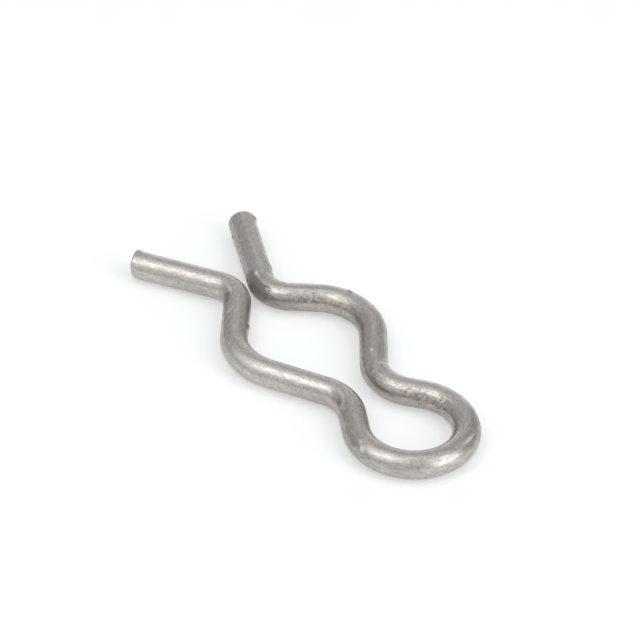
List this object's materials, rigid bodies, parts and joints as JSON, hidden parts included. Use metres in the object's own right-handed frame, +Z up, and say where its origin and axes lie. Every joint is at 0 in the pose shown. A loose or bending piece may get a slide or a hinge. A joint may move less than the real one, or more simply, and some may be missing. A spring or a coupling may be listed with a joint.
{
  "type": "double wave hitch pin clip",
  "caption": "Flat spring wire clip with a closed pull loop, a narrow waist, a rounded seat that grips a hitch pin, a tight throat and flared tails.",
  "frame": {"origin": "middle of the clip's outline, on the surface that it lies on", "axes": "+X along the clip towards the closed loop, +Y towards the left leg, +Z up across the wire"},
  "size_m": [0.0466, 0.018, 0.003],
  "materials": {
    "spring_steel": "bright drawn wire, slightly stained and scuffed"
  },
  "bodies": {
    "root": {"wire_clip": "spring_steel"}
  },
  "joints": []
}
